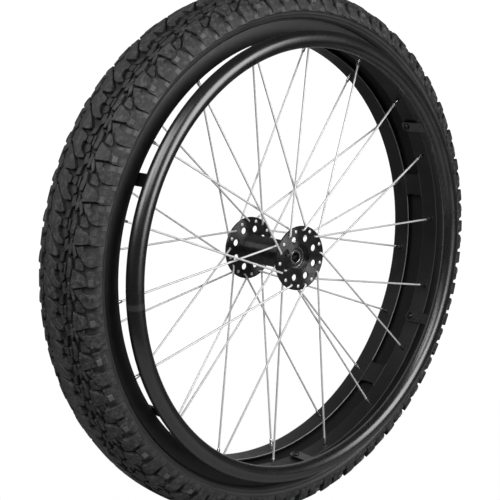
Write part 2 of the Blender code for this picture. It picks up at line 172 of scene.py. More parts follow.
def ring_mesh(name, profile, steps):
    """A closed profile of (radius, y) points turned about the axle."""
    profile = np.array(profile)
    angles = np.arange(steps) * 2 * math.pi / steps
    radius, y = profile[:, 0], profile[:, 1]
    columns = [np.outer(np.cos(angles), radius), np.tile(y, (steps, 1)), np.outer(np.sin(angles), radius)]
    vertices = np.stack(columns, -1).reshape(-1, 3)
    n = len(profile)
    faces = []
    for i in range(steps):
        j = (i + 1) % steps
        for k in range(n):
            m = (k + 1) % n
            faces.append((i * n + k, j * n + k, j * n + m, i * n + m))
    return mesh_from(name, vertices, faces)


def faces_between(rings, sides, closed):
    """Faces from each ring of points to the next one, and from the last to the first if closed."""
    faces = []
    for i in range(rings if closed else rings - 1):
        j = (i + 1) % rings
        for k in range(sides):
            m = (k + 1) % sides
            faces.append((i * sides + k, i * sides + m, j * sides + m, j * sides + k))
    return faces


def lofted(name, rings, matrix=Matrix.Identity(4)):
    """Closed solid through a list of rings, each a list of the same number of points."""
    sides = len(rings[0])
    vertices = [matrix @ Vector(point) for ring in rings for point in ring]
    faces = faces_between(len(rings), sides, False)
    faces.append(tuple(range(sides)))
    faces.append(tuple(range((len(rings) - 1) * sides, len(rings) * sides)))
    return mesh_from(name, vertices, faces)


def circle(radius, z, sides, flats=None):
    """Points of a circle, or of a circle cut by flats at a distance from its middle."""
    points = []
    for i in range(sides):
        a = 2 * math.pi * (i + 0.5) / sides
        r = radius
        if flats:
            count, distance = flats
            sector = 2 * math.pi / count
            off = (a + sector / 2) % sector - sector / 2
            r = min(radius, distance / math.cos(off))
        points.append((r * math.cos(a), r * math.sin(a), z))
    return points


def ring_about(centre, first, second, radius, sides):
    """Points of a circle about a centre, in the plane of two directions."""
    angles = [2 * math.pi * k / sides for k in range(sides)]
    return [centre + (first * math.cos(a) + second * math.sin(a)) * radius for a in angles]


def swept(name, path, radii, sides):
    """Round rod along a path of points, with a radius for each."""
    rings = []
    normal = None
    for i, point in enumerate(path):
        before = path[max(i - 1, 0)]
        after = path[min(i + 1, len(path) - 1)]
        along = (after - before).normalized()
        if normal is None:
            normal = along.orthogonal().normalized()
        normal = (normal - along * normal.dot(along)).normalized()
        rings.append(ring_about(point, normal, along.cross(normal), radii[i], sides))
    return lofted(name, rings)


def joined(name, meshes):
    """One mesh out of several, which are used up."""
    bm = bmesh.new()
    for mesh in meshes:
        bm.from_mesh(mesh)
    result = bpy.data.meshes.new(name)
    bm.to_mesh(result)
    bm.free()
    for mesh in meshes:
        bpy.data.meshes.remove(mesh)
    return result


def cut(mesh, cutter):
    """The mesh with the cutter's volume taken away. Both meshes are used up."""
    body = bpy.data.objects.new("cut_body", mesh)
    tool = bpy.data.objects.new("cut_tool", cutter)
    for obj in (body, tool):
        bpy.context.scene.collection.objects.link(obj)
    modifier = body.modifiers.new("cut", "BOOLEAN")
    modifier.operation = "DIFFERENCE"
    modifier.solver = "EXACT"
    modifier.object = tool
    graph = bpy.context.evaluated_depsgraph_get()
    result = bpy.data.meshes.new_from_object(body.evaluated_get(graph))
    bpy.data.objects.remove(body)
    bpy.data.objects.remove(tool)
    bpy.data.meshes.remove(mesh)
    bpy.data.meshes.remove(cutter)
    return result


# ---- materials ----


def grey(value, tint=0.0):
    """Grey with a little more or less blue."""
    return (value, value, value + tint)

class Nodes:
    """Short calls for building one material's nodes."""

    def __init__(self, name):
        self.material = bpy.data.materials.new(name)
        self.material.use_nodes = True
        self.tree = self.material.node_tree
        self.shader = self.tree.nodes["Principled BSDF"]
        self.position = self.add("ShaderNodeTexCoord").outputs["Object"]

    def add(self, kind, **inputs):
        node = self.tree.nodes.new(kind)
        for key, value in inputs.items():
            self.feed(node.inputs[key.replace("_", " ")], value)
        return node

    def feed(self, socket, value):
        if isinstance(value, bpy.types.NodeSocket):
            self.tree.links.new(value, socket)
        else:
            socket.default_value = value

    def set(self, **inputs):
        for key, value in inputs.items():
            self.feed(self.shader.inputs[key.replace("_", " ")], value)

    def finished(self, colour, roughness, normal, **constants):
        """The material, with its main inputs linked and the rest set as constants."""
        self.set(Base_Color=colour, Roughness=roughness, Normal=normal, **constants)
        return self.material

    def noise(self, scale, detail=3.0, roughness=0.6):
        node = self.add("ShaderNodeTexNoise", Scale=scale, Detail=detail, Roughness=roughness)
        self.feed(node.inputs["Vector"], self.position)
        return node.outputs["Fac"]

    def ramp(self, value, stops):
        """Colour at a value, from (value, colour) stops."""
        node = self.add("ShaderNodeValToRGB", Fac=value)
        ramp = node.color_ramp
        while len(ramp.elements) < len(stops):
            ramp.elements.new(0.5)
        for element, (place, colour) in zip(ramp.elements, stops):
            element.position = place
            element.color = (*colour, 1.0)
        return node.outputs["Color"]

    def remap(self, value, low, high, to_low, to_high):
        """The value taken from one range to another, and held at its ends."""
        node = self.add("ShaderNodeMapRange", Value=value, From_Min=low, From_Max=high)
        node.inputs["To Min"].default_value = to_low
        node.inputs["To Max"].default_value = to_high
        return node.outputs["Result"]

    def math(self, operation, first, second=0.0):
        node = self.tree.nodes.new("ShaderNodeMath")
        node.operation = operation
        self.feed(node.inputs[0], first)
        self.feed(node.inputs[1], second)
        return node.outputs[0]

    def bump(self, height, strength, distance, normal=None):
        node = self.add("ShaderNodeBump", Height=height, Strength=strength, Distance=distance)
        if normal:
            self.feed(node.inputs["Normal"], normal)
        return node.outputs["Normal"]

    def band(self, value, low, high, soft):
        """1 between two numbers, falling to 0 over the soft distance outside them."""
        rise = self.remap(value, low - soft, low, 0.0, 1.0)
        fall = self.remap(value, high, high + soft, 1.0, 0.0)
        return self.math("MULTIPLY", rise, fall)

    def mixed(self, factor, first, second):
        mix = self.tree.nodes.new("ShaderNodeMix")
        mix.data_type = "RGBA"
        for key, value in (("Factor", factor), ("A", first), ("B", second)):
            self.feed(mix.inputs[key], (*value, 1.0) if isinstance(value, tuple) else value)
        return mix.outputs["Result"]

    def coordinates(self):
        split = self.add("ShaderNodeSeparateXYZ", Vector=self.position)
        return split.outputs["X"], split.outputs["Y"], split.outputs["Z"]

    def round_axle(self):
        """Angle round the axle, from +X towards +Z."""
        x, _, z = self.coordinates()
        return self.math("ARCTAN2", z, x)

    def across(self):
        """Distance from the wheel's middle plane."""
        return self.math("ABSOLUTE", self.coordinates()[1])

    def from_axle(self):
        """Distance from the axle."""
        x, _, z = self.coordinates()
        return self.math("SQRT", self.math("ADD", self.math("MULTIPLY", x, x), self.math("MULTIPLY", z, z)))


def rubber_material(name, dark, light, roughness, grain):
    """Rubber or plastic with slow changes of colour and a fine grain."""
    m = Nodes(name)
    patches = m.noise(26.0, 5.0)
    fine = m.noise(grain, 4.0, 0.7)
    colour = m.ramp(patches, [(0.3, dark), (0.72, light)])
    roughness = m.remap(fine, 0.3, 0.75, roughness - 0.07, roughness + 0.1)
    return m.finished(colour, roughness, m.bump(fine, 0.35, 0.0005), Specular_IOR_Level=0.5)


def tread_material():
    """Used tread: dusty patches, a band of painted shade between 9 and 26 mm from the middle plane, and a
    pitted, slightly torn skin.
    """
    m = Nodes("tread_rubber")
    patches = m.noise(190.0, 6.0, 0.72)
    fine = m.noise(900.0, 4.0, 0.7)
    dust = m.noise(30.0, 3.0)
    stops = [(0.36, grey(0.005, 0.0005)), (0.5, grey(0.026, 0.001)), (0.64, grey(0.085, 0.002))]
    # Painted shade: the blocks are darkened in a band between 9 and 26 mm from the middle plane.
    painted_shade_band = m.band(m.across(), 9.0 * MM, 26.0 * MM, 3.0 * MM)
    patches_with_painted_shade = m.mixed(m.math("MULTIPLY", painted_shade_band, 0.6), m.ramp(patches, stops), grey(0.012))
    colour = m.mixed(m.remap(dust, 0.35, 0.65, 0.0, 0.3), patches_with_painted_shade, grey(0.034, 0.001))
    roughness = m.remap(patches, 0.3, 0.7, 0.5, 0.72)
    torn = m.bump(patches, 0.7, 0.0014)
    return m.finished(colour, roughness, m.bump(fine, 0.4, 0.0005, torn))


def sidewall_material():
    """Smooth sides, and a duller floor under the tread's blocks that is darkened with painted shade."""
    m = Nodes("sidewall_rubber")
    # Painted shade: the floor between the tread's blocks turns darker from 306 to 314 mm out from the axle.
    floor = m.remap(m.from_axle(), 306.0 * MM, 314.0 * MM, 0.0, 1.0)
    patches = m.noise(26.0, 5.0)
    fine = m.noise(500.0, 4.0, 0.7)
    side = m.ramp(patches, [(0.3, grey(0.036, 0.0005)), (0.72, grey(0.058, 0.001))])
    colour = m.mixed(floor, side, grey(0.006))
    roughness = m.math("ADD", m.remap(fine, 0.3, 0.75, 0.4, 0.55), m.math("MULTIPLY", floor, 0.25))
    return m.finished(colour, roughness, m.bump(fine, 0.3, 0.0005))


def rim_material():
    """Black anodising, with a painted highlight as a paler line on the bed's corners, and a pale line on the
    slots' long cut edges that is partly bare cut metal and partly a painted highlight.
    """
    m = Nodes("rim_black")
    clouds = m.noise(30.0, 4.0)
    marks = m.noise(90.0, 6.0, 0.7)
    radius, across = m.from_axle(), m.across()
    # Painted highlight: a paler line on the rounded corners where the bed meets the rim's walls.
    by_wall = m.band(across, RIM_HALF - 1.3 * MM, RIM_HALF - 0.3 * MM, 0.3 * MM)
    at_bed = m.band(radius, BED_R - 1.0 * MM, BED_R + 0.9 * MM, 0.3 * MM)
    corner = m.math("MULTIPLY", by_wall, at_bed)
    # Pale line on the slots' long cut edges, partly bare cut metal and partly a painted highlight; the slots'
    # round ends are left out.
    by_slot = m.band(across, SLOT_HALF - 0.1 * MM, SLOT_HALF + 0.6 * MM, 0.1 * MM)
    in_chamfer = m.band(radius, BED_R + 0.03 * MM, BED_R + 0.8 * MM, 0.05 * MM)
    cut_edge_highlight = m.math("MULTIPLY", by_slot, in_chamfer)
    skin = m.ramp(clouds, [(0.3, grey(0.007, 0.0005)), (0.7, grey(0.014, 0.0005))])
    skin_with_corner_highlight = m.mixed(corner, skin, grey(0.06, 0.002))
    colour = m.mixed(cut_edge_highlight, skin_with_corner_highlight, grey(0.3))
    roughness = m.remap(marks, 0.35, 0.7, 0.38, 0.5)
    return m.finished(colour, roughness, m.bump(m.noise(2600.0, 2.0), 0.1, 0.0002), Specular_IOR_Level=0.4)


def turned_material(name, dark, light, roughness):
    """Anodised over fine turning marks that run round the axle, which stretch its highlights."""
    m = Nodes(name)
    rings = m.add("ShaderNodeTexNoise", Scale=1.0, Detail=3.0)
    rings.noise_dimensions = "1D"
    m.feed(rings.inputs["W"], m.math("MULTIPLY", m.from_axle(), 5200.0))
    clouds = m.noise(160.0, 3.0)
    colour = m.ramp(clouds, [(0.3, dark), (0.7, light)])
    roughness = m.remap(rings.outputs["Fac"], 0.3, 0.7, roughness - 0.05, roughness + 0.08)
    tangent = m.add("ShaderNodeTangent")
    tangent.direction_type = "RADIAL"
    tangent.axis = "Y"
    m.set(Metallic=0.8, Anisotropic=1.0, Anisotropic_Rotation=0.25, Tangent=tangent.outputs["Tangent"])
    return m.finished(colour, roughness, m.bump(rings.outputs["Fac"], 0.08, 0.0002))


def steel_material(name, dark, light, roughness, scale):
    """Ground or plated steel with light marks from handling."""
    m = Nodes(name)
    clouds = m.noise(scale, 4.0)
    marks = m.noise(900.0, 5.0, 0.7)
    colour = m.ramp(clouds, [(0.3, dark), (0.7, light)])
    roughness = m.remap(marks, 0.3, 0.7, roughness - 0.04, roughness + 0.08)
    return m.finished(colour, roughness, m.bump(marks, 0.03, 0.0001), Metallic=1.0)


def spoke_material():
    """Drawn stainless wire, dulled by handling."""
    m = Nodes("spoke_steel")
    clouds = m.noise(30.0, 3.0)
    drawn = m.noise(60.0, 3.0)
    colour = m.ramp(clouds, [(0.3, grey(0.7, 0.01)), (0.7, grey(0.84, 0.01))])
    roughness = m.remap(drawn, 0.3, 0.7, 0.44, 0.52)
    return m.finished(colour, roughness, m.bump(drawn, 0.02, 0.0001), Metallic=0.4)


def gloss_material(name, dark, light, roughness):
    """Satin-gloss black with slow changes of sheen and faint wiping marks."""
    m = Nodes(name)
    clouds = m.noise(40.0, 4.0)
    wiping = m.noise(30.0, 3.0, 0.5)
    past_seam = m.math("ABSOLUTE", m.math("SUBTRACT", m.round_axle(), SEAM_ANGLE - 2 * math.pi))
    seam = m.band(past_seam, 0.0, 2.4 * MM / HAND_RIM_R, 1.5 * MM / HAND_RIM_R)
    colour = m.mixed(seam, m.ramp(clouds, [(0.35, dark), (0.7, light)]), grey(0.03))
    roughness = m.remap(wiping, 0.35, 0.7, roughness - 0.02, roughness + 0.03)
    return m.finished(colour, roughness, m.bump(m.noise(70.0, 2.0), 0.015, 0.0003), IOR=1.9)


TREAD = tread_material()
# The pads' paler rubber is a painted highlight for their lit tops.
PAD_PAINTED_HIGHLIGHT = rubber_material("pad_rubber_painted_highlight", grey(0.05, 0.001), grey(0.13, 0.002), 0.36, 500.0)
SIDEWALL = sidewall_material()
BUTYL = rubber_material("butyl_rubber", grey(0.012), grey(0.02), 0.55, 700.0)
RIM_BLACK = rim_material()
HAND_RIM_BLACK = gloss_material("hand_rim_black", grey(0.004, 0.0005), grey(0.007, 0.0005), 0.28)
HUB_BLACK = turned_material("hub_black", grey(0.045, 0.001), grey(0.075, 0.002), 0.36)
SPOKE_STEEL = spoke_material()
NIPPLE_NICKEL = steel_material("nipple_nickel", grey(0.55, -0.01), grey(0.75, -0.01), 0.2, 300.0)
BEARING_STEEL = steel_material("bearing_steel", grey(0.45, 0.005), grey(0.65, 0.005), 0.22, 200.0)
SCREW_BLACK = steel_material("screw_black", grey(0.03, 0.001), grey(0.07, 0.002), 0.3, 300.0)
TAPE_BLACK = rubber_material("tape_black", grey(0.002), grey(0.005), 0.8, 1200.0)
SEAL_BLACK = rubber_material("seal_black", grey(0.01), grey(0.02), 0.45, 1500.0)
CAP_PLASTIC = rubber_material("cap_plastic", grey(0.012), grey(0.02), 0.4, 1500.0)


# ---- tyre ----

# The knobs' tops follow a superellipse from the crown to the widest point of each side.
SECTION_POWER = 2.6
SECTION_HEIGHT = 38.6 * MM
SECTION_CENTRE = TYRE_R - SECTION_HEIGHT
# The tread repeats a unit of blocks. Outlines are in y in mm and degrees round the axle.
UNITS = 44
UNIT = 2 * math.pi / UNITS
REFERENCE_R = 322.0 * MM
GUIDE_ANGLE = 158.0
MIRROR_ANGLE = 159.6
KNOB_HEIGHT = 4.8 * MM


def section_table():
    """Arc length, point and outward normal along the knobs' tops, from the crown to the widest point."""
    t = np.linspace(0.0, math.pi / 2, 2400)
    y = TYRE_HALF * np.sin(t) ** (2 / SECTION_POWER)
    radius = SECTION_CENTRE + SECTION_HEIGHT * np.cos(t) ** (2 / SECTION_POWER)
    step = np.hypot(np.diff(radius), np.diff(y))
    arc = np.concatenate([[0.0], np.cumsum(step)])
    along_r, along_y = np.gradient(radius, arc), np.gradient(y, arc)
    length = np.hypot(along_r, along_y)
    return arc, radius, y, along_y / length, -along_r / length


ARC, ARC_R, ARC_Y, NORMAL_R, NORMAL_Y = section_table()


def arc_at(y_mm):
    """Arc length from the crown to a y in mm, with the y's sign."""
    return math.copysign(float(np.interp(abs(y_mm) * MM, ARC_Y, ARC)), y_mm)


def on_section(arc, depth):
    """(radius, y) at an arc length from the crown, a depth under the knobs' tops."""
    a = np.abs(arc)
    radius = np.interp(a, ARC, ARC_R) - depth * np.interp(a, ARC, NORMAL_R)
    y = np.interp(a, ARC, ARC_Y) - depth * np.interp(a, ARC, NORMAL_Y)
    return radius, np.sign(arc) * y


def outward(points):
    """Unit corner directions that point out of a closed outline, lengthened so that its sides move evenly."""
    followers = points[1:] + points[:1]
    area = sum(p[0] * q[1] - q[0] * p[1] for p, q in zip(points, followers))
    sign = 1.0 if area > 0 else -1.0
    directions = []
    for i, (point, follower) in enumerate(zip(points, followers)):
        here, before, after = Vector(point), Vector(points[i - 1]), Vector(follower)
        first, second = (here - before).normalized(), (after - here).normalized()
        a = Vector((first.y, -first.x)) * sign
        b = Vector((second.y, -second.x)) * sign
        middle = a + b
        if middle.length < 1e-6:
            directions.append(a)
            continue
        middle.normalize()
        directions.append(middle / max(0.45, middle.dot(a)))
    return directions


KNOB_DRAFT = 0.35 * MM
KNOB_GRID = (5.0 * MM, 6.5 * MM)
KNOB_ROOT = 1.2 * MM


def knob(outline, height, lift, chamfer):
    """Vertices and faces of one tread block. Its top is cut into a grid, so that it bends with the tyre."""
    corners = [(arc_at(y), math.radians(angle - GUIDE_ANGLE) * REFERENCE_R) for y, angle in outline]
    bm = bmesh.new()
    bm.faces.new([bm.verts.new((a, t, 0.0)) for a, t in corners])
    for axis, step in enumerate(KNOB_GRID):
        low = min(c[axis] for c in corners)
        high = max(c[axis] for c in corners)
        cuts = int((high - low) / step)
        for i in range(1, cuts + 1):
            place = low + (high - low) * i / (cuts + 1)
            point, normal = [0.0, 0.0, 0.0], [0.0, 0.0, 0.0]
            point[axis], normal[axis] = place, 1.0
            geometry = bm.verts[:] + bm.edges[:] + bm.faces[:]
            bmesh.ops.bisect_plane(bm, geom=geometry, dist=1e-7, plane_co=point, plane_no=normal)
    border = []
    edge = next(e for e in bm.edges if e.is_boundary)
    vertex = edge.verts[0]
    while True:
        border.append(vertex)
        vertex = edge.other_vert(vertex)
        edge = next(e for e in vertex.link_edges if e.is_boundary and e is not edge)
        if vertex is border[0]:
            break
    directions = outward([(v.co.x, v.co.y) for v in border])
    rings = [border]
    for shift, drop in ((chamfer, chamfer), (chamfer + KNOB_DRAFT, height + KNOB_ROOT)):
        ring = []
        for v, d in zip(border, directions):
            ring.append(bm.verts.new((v.co.x + d.x * shift, v.co.y + d.y * shift, -drop)))
        rings.append(ring)
    for upper, lower in zip(rings, rings[1:]):
        for i in range(len(upper)):
            j = (i + 1) % len(upper)
            bm.faces.new((upper[i], upper[j], lower[j], lower[i]))
    bmesh.ops.recalc_face_normals(bm, faces=bm.faces)
    bm.verts.index_update()
    flat = np.array([v.co[:] for v in bm.verts])
    faces = [tuple(v.index for v in f.verts) for f in bm.faces]
    up = sum(f.normal.z for f in bm.faces if abs(f.normal.z) > 0.99)
    bm.free()
    if up < 0:
        faces = [f[::-1] for f in faces]
    radius, y = on_section(flat[:, 0], -flat[:, 2] - lift)
    angle = flat[:, 1] / REFERENCE_R + math.radians(GUIDE_ANGLE)
    return np.stack([radius * np.cos(angle), y, radius * np.sin(angle)], -1), faces


def turned_over(outline):
    """The outline turned half a turn about a point on the crown, for the tread's other half."""
    return [(-y, 2 * MIRROR_ANGLE - angle) for y, angle in outline]


CENTRE_BLOCK = [
    (15.0, 154.3), (12.6, 154.5), (5.0, 155.95), (-1.6, 157.05), (-5.4, 157.95), (-8.8, 158.85),
    (-7.4, 159.05), (-3.0, 159.1), (6.6, 158.95), (7.2, 159.3), (-0.5, 159.9), (-8.3, 160.6),
    (-8.3, 161.5), (-4.4, 161.85), (-5.6, 162.9), (-9.0, 163.6), (-15.3, 164.35), (-15.6, 164.75),
    (-8.0, 164.9), (-2.0, 164.5), (5.0, 163.3), (12.4, 161.85), (15.0, 161.8), (15.4, 160.0),
    (12.2, 159.6), (12.2, 158.7), (15.4, 158.2),
]
SHOULDER_BLOCK = [
    (-32.4, 161.2), (-31.6, 161.9), (-30.8, 163.5), (-31.7, 164.6), (-35.0, 164.5), (-39.6, 164.35),
    (-43.4, 164.1), (-43.3, 162.7), (-42.3, 162.3), (-38.6, 161.9), (-35.0, 161.5),
]
TOOTH = [
    (-38.9, 157.9), (-40.2, 158.8), (-42.0, 159.7), (-44.2, 160.25), (-46.4, 160.35), (-49.7, 160.0),
    (-49.85, 157.5), (-46.4, 157.75), (-43.4, 157.75), (-41.0, 157.55),
]
SIDE_LUG = [(-44.1, 161.6), (-44.2, 164.1), (-46.4, 164.4), (-49.7, 164.2), (-49.85, 161.2), (-46.2, 161.4)]
SUNK_BLOCKS = [
    [(-34.4, 159.0), (-38.2, 159.3), (-41.0, 160.2), (-42.0, 160.8), (-41.0, 161.2), (-37.5, 161.1),
     (-34.2, 160.9)],
    [(-32.7, 165.1), (-34.2, 165.7), (-37.0, 166.5), (-38.6, 166.9), (-39.6, 166.3), (-39.9, 165.3),
     (-39.4, 164.8)],
]
FIN = [(-29.0, 156.2), (-30.0, 157.6), (-33.0, 158.9), (-33.9, 158.5), (-31.4, 157.0), (-30.2, 156.0)]
LOW_BLOCKS = [
    [(-10.4, 160.65), (-16.4, 160.4), (-17.2, 161.1), (-16.0, 161.9), (-10.4, 161.5)],
    [(-13.0, 162.3), (-18.6, 162.1), (-20.0, 163.2), (-17.0, 163.7)],
    [(-18.6, 158.2), (-12.6, 158.9), (-12.6, 160.0), (-17.4, 159.8)],
]
RIDGE_BLOCKS = [
    [(-26.3, 159.0), (-28.6, 159.2), (-29.6, 161.0), (-28.6, 162.6), (-25.4, 162.7), (-24.2, 162.1),
     (-25.2, 161.0)],
    [(-26.4, 163.6), (-28.6, 163.8), (-28.6, 165.6), (-27.6, 166.4), (-25.4, 166.5), (-25.9, 164.9)],
    [(-20.4, 156.9), (-25.0, 156.6), (-25.6, 157.3), (-20.8, 157.8)],
    [(-19.4, 164.1), (-22.4, 163.7), (-23.6, 164.5), (-21.9, 165.6), (-18.8, 165.3)],
    [(-20.6, 160.2), (-22.8, 160.3), (-22.4, 162.2), (-20.8, 162.0)],
]
SIDE_PADS = [
    [(-46.3, 158.9), (-48.5, 158.8), (-48.5, 160.0), (-46.5, 160.2)],
    [(-45.4, 163.0), (-47.5, 162.9), (-47.5, 164.0), (-45.7, 164.1)],
]


def tread_blocks():
    """Blocks of one unit of the tread, on both halves: each outline, and how far its top is lifted."""
    blocks = [(CENTRE_BLOCK, 0.0)]
    for far in (False, True):
        outlines = [(SHOULDER_BLOCK, 0.0), (TOOTH, 0.9 * MM), (SIDE_LUG, 0.0), (FIN, -1.0 * MM)]
        outlines += [(outline, -2.6 * MM) for outline in SUNK_BLOCKS]
        outlines += [(outline, -1.5 * MM) for outline in LOW_BLOCKS]
        outlines += [(outline, -0.6 * MM) for outline in RIDGE_BLOCKS]
        blocks += [(turned_over(outline) if far else outline, lift) for outline, lift in outlines]
    return blocks


def side_pads():
    """Small shiny pads on the side lugs of one unit, on both halves, in a paler rubber that is a painted
    highlight for their lit tops.
    """
    pads = [(outline, 0.8 * MM) for outline in SIDE_PADS]
    return pads + [(turned_over(outline), lift) for outline, lift in pads]


def build_blocks(name, blocks, material, chamfer):
    """All the blocks of one kind round the tyre, as one piece."""
    vertices, faces = [], []
    unit_vertices, unit_faces, offset = [], [], 0
    for outline, lift in blocks:
        block_vertices, block_faces = knob(outline, KNOB_HEIGHT + lift, lift, chamfer)
        unit_vertices.append(block_vertices)
        unit_faces += [tuple(i + offset for i in f) for f in block_faces]
        offset += len(block_vertices)
    unit = np.concatenate(unit_vertices)
    for i in range(UNITS):
        c, s = math.cos(i * UNIT), math.sin(i * UNIT)
        turned = unit.copy()
        turned[:, 0] = unit[:, 0] * c - unit[:, 2] * s
        turned[:, 2] = unit[:, 0] * s + unit[:, 2] * c
        vertices.append(turned)
        faces += [tuple(k + i * offset for k in f) for f in unit_faces]
    mesh = bpy.data.meshes.new(name)
    mesh.from_pydata(np.concatenate(vertices).tolist(), [], faces)
    return add_piece(name, mesh, material, sharp=28.0)


def build_carcass():
    """The tyre under its knobs: floor of the tread, plain sidewalls with two fine rings, and beads."""
    widest, floor_ends, side_starts = arc_at(49.9), arc_at(46.0), arc_at(48.8)
    rise, casing = 4.0 * MM, 4.0 * MM
    arcs = np.linspace(0.0, widest, 30)
    fade = np.clip((arcs - floor_ends) / (side_starts - floor_ends), 0.0, 1.0)
    radius, y = on_section(arcs, KNOB_HEIGHT - rise * fade)
    half = list(zip(radius.tolist(), y.tolist()))
    # Side below the widest point, then the bead: distances from the rim's lip, in mm.
    side = [(9.2, 8.7), (7.4, 8.1), (7.0, 8.5), (6.2, 8.2), (5.9, 7.4), (4.0, 5.9), (3.2, 5.6), (2.6, 4.3)]
    side += [(1.5, 2.2), (0.9, -0.2), (0.8, -2.6), (-5.5, -3.0)]
    half += [(RIM_R + out * MM, RIM_HALF + aside * MM) for out, aside in side]
    inside = [(RIM_R - 5.5 * MM, RIM_HALF - 7.0 * MM), (RIM_R + 4.0 * MM, RIM_HALF - 4.0 * MM)]
    inner_r, inner_y = on_section(np.linspace(floor_ends, 0.0, 8), KNOB_HEIGHT + casing)
    inside += list(zip(inner_r.tolist(), inner_y.tolist()))
    upper = half + inside
    lower = [(r, -w) for r, w in upper[::-1]]
    profile = upper[:-1] + lower[:-1]
    mesh = ring_mesh("tyre_carcass", profile, 8 * UNITS)
    return add_piece("tyre_carcass", mesh, SIDEWALL, replaces=("tyre",), sharp=50.0)


# ---- rim and inner parts ----

CUT_CLEARANCE = 3.0 * MM
SLOT_STEP = 4.5 * MM


def slot_cutter(start, end):
    """Cutter for one long slot with round corners and a small chamfer at the inner face of the bed."""
    arc = (end - start) * BED_R
    corner_steps = 8
    places = [SLOT_CORNER * (1 - math.cos(math.pi / 2 * k / corner_steps)) for k in range(corner_steps + 1)]
    straight = int((arc - 2 * SLOT_CORNER) / SLOT_STEP)
    places += [SLOT_CORNER + (arc - 2 * SLOT_CORNER) * k / straight for k in range(1, straight)]
    places += [arc - u for u in places[corner_steps::-1]]
    low, top = BED_R - CUT_CLEARANCE, BED_R + BED_THICKNESS + CUT_CLEARANCE
    chamfer_low, chamfer_high = BED_R + 0.05 * MM, BED_R + 0.55 * MM
    rings = []
    for u in places:
        inset = max(0.0, SLOT_CORNER - min(u, arc - u))
        half = SLOT_HALF - SLOT_CORNER + math.sqrt(max(0.0, SLOT_CORNER**2 - inset**2))
        wide = half + 0.5 * MM
        section = [(-wide, low), (-wide, chamfer_low), (-half, chamfer_high), (-half, top)]
        section += [(-w, radius) for w, radius in section[::-1]]
        rings.append([polar(radius, start + u / BED_R, w) for w, radius in section])
    return lofted("slot", rings)


def drill(angle, radius, y, size, length=10.0 * MM, sides=24):
    """Cutter for a round hole that points at the axle."""
    ends = [circle(size, -length / 2, sides), circle(size, length / 2, sides)]
    return lofted("drill", ends, local_frame(angle, radius, y))


def tab_angle(i):
    """Angle round the axle of one of the hand rim's tabs."""
    return TAB_PHASE + i * math.pi / 3


def build_rim():
    """Wide channel with a shelf on each wall for the tyre's bead, long slots and drilled holes."""
    wall, shelf, shelf_thickness = 2.2 * MM, 6.2 * MM, 2.0 * MM
    seat = RIM_R - 6.0 * MM
    top = BED_R + BED_THICKNESS
    inner = RIM_HALF - wall
    # Half of the section: each corner's radius and y, and its rounding in mm.
    half = [
        (BED_R, RIM_HALF, 1.2),
        (RIM_R, RIM_HALF, 1.0),
        (RIM_R, inner, 0.9),
        (seat, inner, 0.8),
        (seat, inner - shelf, 0.8),
        (seat - shelf_thickness, inner - shelf, 0.6),
        (seat - shelf_thickness, inner, 0.6),
        (top, inner, 0.8),
    ]
    section = half + [(radius, -y, rounding) for radius, y, rounding in half[::-1]]
    mesh = rounded_ring("rim", section, 360)
    tools = []
    pitch = 2 * math.pi / SLOT_COUNT
    for i in range(SLOT_COUNT):
        start = FAR_PHASE + BRIDGE / 2 + i * pitch
        end = start + pitch - BRIDGE
        if start < VALVE_ANGLE < end:
            tools.append(slot_cutter(start, VALVE_ANGLE - BRIDGE / 2))
            start = VALVE_ANGLE + BRIDGE / 2
        tools.append(slot_cutter(start, end))
    for i in range(SPOKES_PER_SIDE):
        tools.append(drill(NEAR_PHASE + i * PITCH, BED_R, -NIPPLE_Y, NIPPLE_HOLE_R))
        tools.append(drill(FAR_PHASE + i * PITCH, BED_R, NIPPLE_Y, NIPPLE_HOLE_R))
    for i in range(TAB_COUNT):
        tools.append(drill(tab_angle(i), BED_R, TAB_SCREW_Y, TAB_HOLE_R))
    tools.append(drill(VALVE_ANGLE, BED_R, 0.0, VALVE_HOLE_R))
    mesh = cut(mesh, joined("rim_tools", tools))
    add_piece("rim_body", mesh, RIM_BLACK, replaces=("rim",), sharp=25.0)


def build_tape():
    """Rim tape, pressed outwards by the bridges, so that it shows dark and deep through the slots."""
    outer = TAPE_R + 3.6 * MM
    inner = outer - 0.8 * MM
    corners = [(inner, TAPE_HIGH), (outer, TAPE_HIGH), (outer, TAPE_LOW), (inner, TAPE_LOW)]
    mesh = ring_mesh("tape", fillet(corners, 0.3 * MM, 2), 240)
    mesh = cut(mesh, drill(VALVE_ANGLE, TAPE_R, 0.0, VALVE_HOLE_R))
    add_piece("rim_strip", mesh, TAPE_BLACK, replaces=("rim_tape",))


# ---- hub and bearings ----

FLANGE_THICKNESS = 3.0 * MM
BARREL_R = 17.6 * MM
SPOKE_RING_R = 34.5 * MM
SPOKE_HOLE_R = 1.3 * MM
LIGHTENING_RING_R = 24.9 * MM
LIGHTENING_HOLE_R = 4.3 * MM
LIGHTENING_PHASE = math.radians(25.8)
BEARING_RECESS = 7.5 * MM


